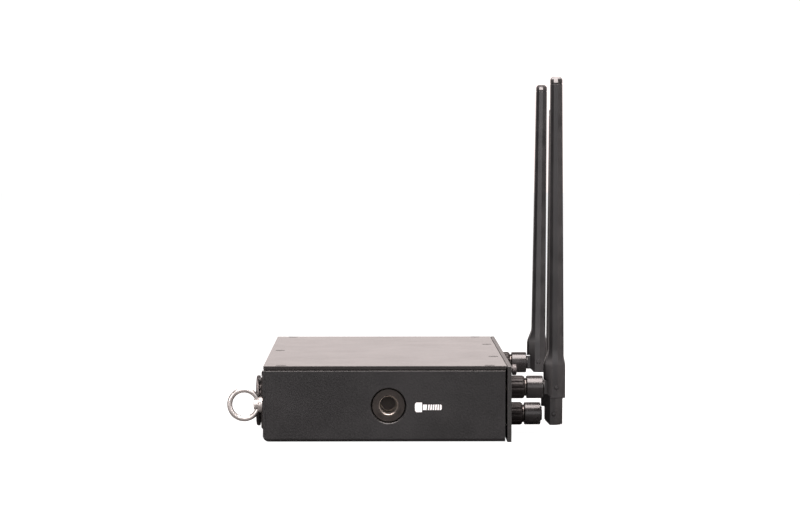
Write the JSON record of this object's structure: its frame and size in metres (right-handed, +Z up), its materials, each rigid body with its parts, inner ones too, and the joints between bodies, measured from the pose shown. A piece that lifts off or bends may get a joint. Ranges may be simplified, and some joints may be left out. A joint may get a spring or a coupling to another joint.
{
  "type": "wireless receiver unit",
  "caption": "Compact wireless receiver in a black sheet-metal case with hinged whip antennas, a threaded rigging boss and a safety eye.",
  "frame": {"origin": "centre of the case's underside", "axes": "+X from the connector wall to the antenna panel, +Y from the wall with the rigging boss to the far wall, +Z up towards the lid"},
  "size_m": [0.1962, 0.2, 0.2085],
  "materials": {
    "case_paint": "fine satin black powder coat",
    "panel_paint": "fine satin black powder coat",
    "black_screw": "black oxide",
    "boss_steel": "turned, dark oxidised",
    "zinc_steel": "zinc plated",
    "bright_steel": "polished stainless steel",
    "bezel_metal": "satin black chrome",
    "insert_plastic": "moulded black",
    "plated_thread": "nickel plated brass",
    "nut_plastic": "satin moulded black",
    "mast_plastic": "satin moulded black",
    "circuit_board": "green solder mask",
    "coax_jacket": "brown cable jacket"
  },
  "bodies": {
    "housing": {"base_tray": "case_paint", "lid": "case_paint", "antenna_panel": "panel_paint", "lid_screw_1": "black_screw", "lid_screw_2": "black_screw", "lid_screw_3": "black_screw", "lid_screw_4": "black_screw", "lid_screw_5": "black_screw", "lid_screw_6": "black_screw", "lid_screw_7": "black_screw", "panel_screw_1": "black_screw", "panel_screw_2": "black_screw", "panel_screw_3": "black_screw", "panel_screw_4": "black_screw", "rigging_boss": "boss_steel", "rigging_bracket": "zinc_steel", "eye_bolt": "bright_steel", "eye_bolt_nut": "zinc_steel", "power_inlet_shell": "bezel_metal", "power_inlet_insert": "insert_plastic", "power_inlet_screw_a": "black_screw", "power_inlet_screw_b": "black_screw", "signal_output_shell": "bezel_metal", "signal_output_insert": "insert_plastic", "signal_output_screw_a": "black_screw", "signal_output_screw_b": "black_screw", "network_port_shell": "bezel_metal", "network_port_insert": "insert_plastic", "network_port_screw_a": "black_screw", "network_port_screw_b": "black_screw", "near_upper_jack": "plated_thread", "near_upper_panel_nut": "nut_plastic", "near_lower_jack": "plated_thread", "near_lower_panel_nut": "nut_plastic", "far_upper_jack": "plated_thread", "far_upper_panel_nut": "nut_plastic", "button_bezel": "black_screw", "button_switch": "insert_plastic", "main_board": "circuit_board", "radio_module": "zinc_steel", "power_module": "insert_plastic", "coax_pigtail_near_upper": "coax_jacket", "coax_pigtail_near_lower": "coax_jacket", "coax_pigtail_far_upper": "coax_jacket"},
    "near_upper_nut": {"near_upper_coupling_nut": "nut_plastic"},
    "near_upper_elbow": {"near_upper_knuckle": "mast_plastic", "near_upper_hinge_pin": "zinc_steel"},
    "near_upper_whip": {"near_upper_mast": "mast_plastic"},
    "near_lower_nut": {"near_lower_coupling_nut": "nut_plastic"},
    "near_lower_elbow": {"near_lower_knuckle": "mast_plastic", "near_lower_hinge_pin": "zinc_steel"},
    "near_lower_whip": {"near_lower_mast": "mast_plastic"},
    "far_upper_nut": {"far_upper_coupling_nut": "nut_plastic"},
    "far_upper_elbow": {"far_upper_knuckle": "mast_plastic", "far_upper_hinge_pin": "zinc_steel"},
    "far_upper_whip": {"far_upper_mast": "mast_plastic"},
    "button": {"button_cap": "nut_plastic"}
  },
  "joints": [
    {"name": "near_upper_nut_spin", "type": "hinge", "parent": "housing", "child": "near_upper_nut", "pos_m": [0.0855, -0.0747, 0.0287], "axis": [1, 0, 0], "continuous": true},
    {"name": "near_upper_swivel", "type": "hinge", "parent": "housing", "child": "near_upper_elbow", "pos_m": [0.0903, -0.0747, 0.0287], "axis": [1, 0, 0], "range_deg": [0, 90]},
    {"name": "near_upper_fold", "type": "hinge", "parent": "near_upper_elbow", "child": "near_upper_whip", "pos_m": [0.098, -0.0747, 0.0287], "axis": [0, 1, 0], "range_deg": [0, 90]},
    {"name": "near_lower_nut_spin", "type": "hinge", "parent": "housing", "child": "near_lower_nut", "pos_m": [0.0855, -0.0554, 0.011], "axis": [1, 0, 0], "continuous": true},
    {"name": "near_lower_swivel", "type": "hinge", "parent": "housing", "child": "near_lower_elbow", "pos_m": [0.0903, -0.0554, 0.011], "axis": [1, 0, 0], "range_deg": [-40, 0]},
    {"name": "near_lower_fold", "type": "hinge", "parent": "near_lower_elbow", "child": "near_lower_whip", "pos_m": [0.098, -0.0554, 0.011], "axis": [0, 1, 0], "range_deg": [0, 90]},
    {"name": "far_upper_nut_spin", "type": "hinge", "parent": "housing", "child": "far_upper_nut", "pos_m": [0.0855, 0.0747, 0.0287], "axis": [1, 0, 0], "continuous": true},
    {"name": "far_upper_swivel", "type": "hinge", "parent": "housing", "child": "far_upper_elbow", "pos_m": [0.0903, 0.0747, 0.0287], "axis": [1, 0, 0], "range_deg": [-84, 6]},
    {"name": "far_upper_fold", "type": "hinge", "parent": "far_upper_elbow", "child": "far_upper_whip", "pos_m": [0.098, 0.0747, 0.0287], "axis": [0, 0.9945, -0.1045], "range_deg": [-1, 89]},
    {"name": "button_press", "type": "slide", "parent": "housing", "child": "button", "axis": [-1, 0, 0], "range_m": [0, 0.0012], "stiffness_N_per_m": 500, "springref_m": -0.0006}
  ]
}
